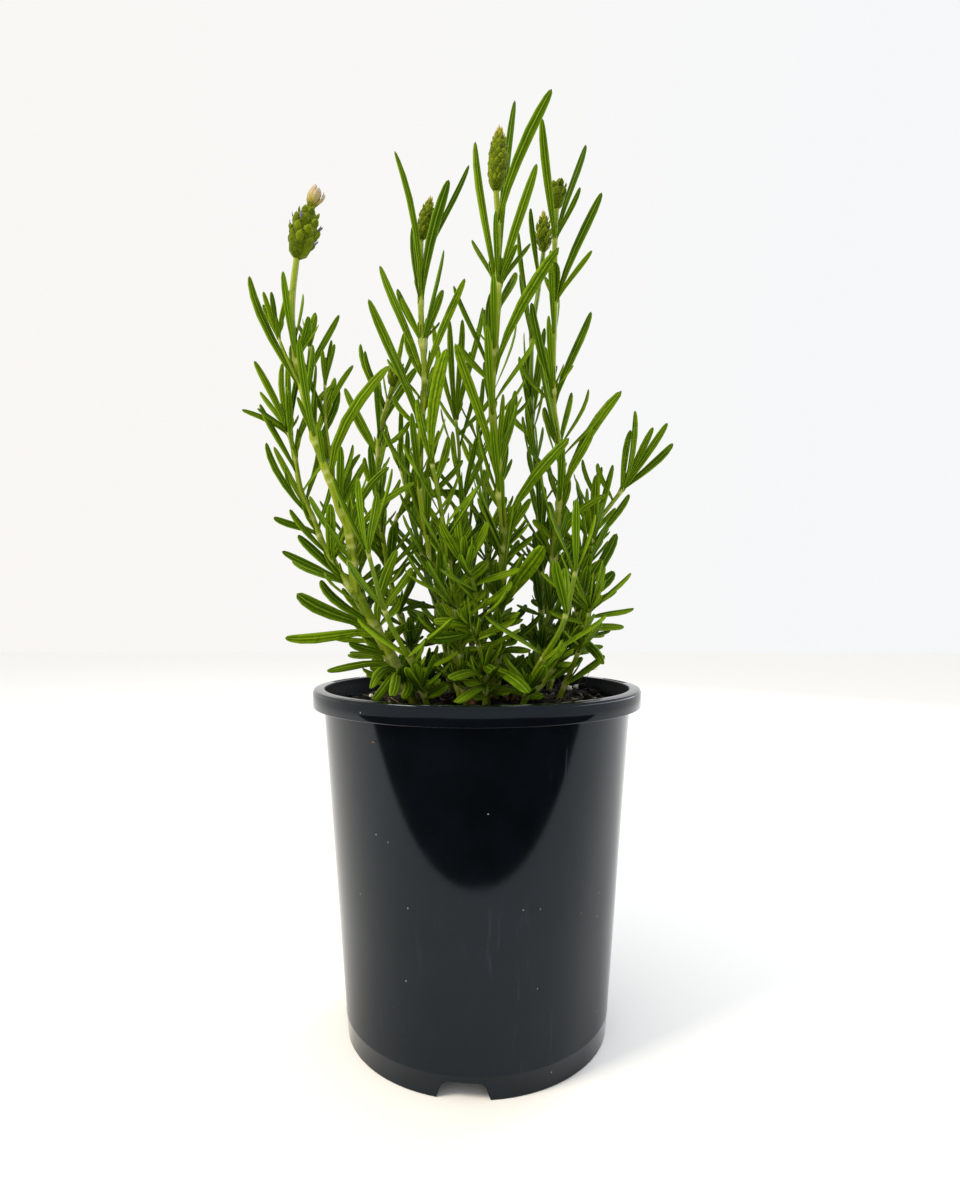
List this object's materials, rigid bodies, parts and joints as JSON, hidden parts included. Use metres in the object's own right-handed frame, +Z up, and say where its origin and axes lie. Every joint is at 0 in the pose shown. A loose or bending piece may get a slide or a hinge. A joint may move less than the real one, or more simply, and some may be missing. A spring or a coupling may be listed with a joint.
{
  "type": "potted lavender",
  "caption": "Young lavender plant with narrow leafy stems and green flower spikes, growing in peat in a black moulded nursery pot.",
  "frame": {"origin": "centre of the circle that the pot's base stands on", "axes": "+Z up the pot and the plant; +Y away from the front; +X to the right, seen from the front; the first drainage notch faces the front"},
  "size_m": [0.2272, 0.165, 0.493],
  "materials": {
    "pot_plastic": "moulded black polypropylene, semi-gloss, fine vertical scratches and dust specks",
    "peat": null,
    "foliage": null,
    "spike_green": null,
    "bark": "rough brown bark of a pruned woody stem",
    "tuft_cream": null
  },
  "bodies": {
    "root": {"pot": "pot_plastic", "soil": "peat", "stub_front": "bark", "stub_right": "bark", "stem_left": "foliage", "stem_bud_left": "foliage", "stem_bud_middle": "foliage", "stem_front_tall": "foliage", "stem_back_centre": "foliage", "stem_tall": "foliage", "stem_bud_right": "foliage", "stem_bud_back": "foliage", "stem_right": "foliage", "stem_front_left": "foliage", "stem_front_right": "foliage", "stem_back_left": "foliage", "stem_back_middle": "foliage", "stem_back_right": "foliage", "stem_side_left": "foliage", "stem_side_right": "foliage", "stem_low_left": "foliage", "stem_low_right": "foliage", "spike_open": "spike_green", "spike_left": "spike_green", "spike_middle": "spike_green", "spike_tall": "spike_green", "spike_right": "spike_green", "spike_back": "spike_green", "bud_right": "bark", "tuft": "tuft_cream"}
  },
  "joints": []
}
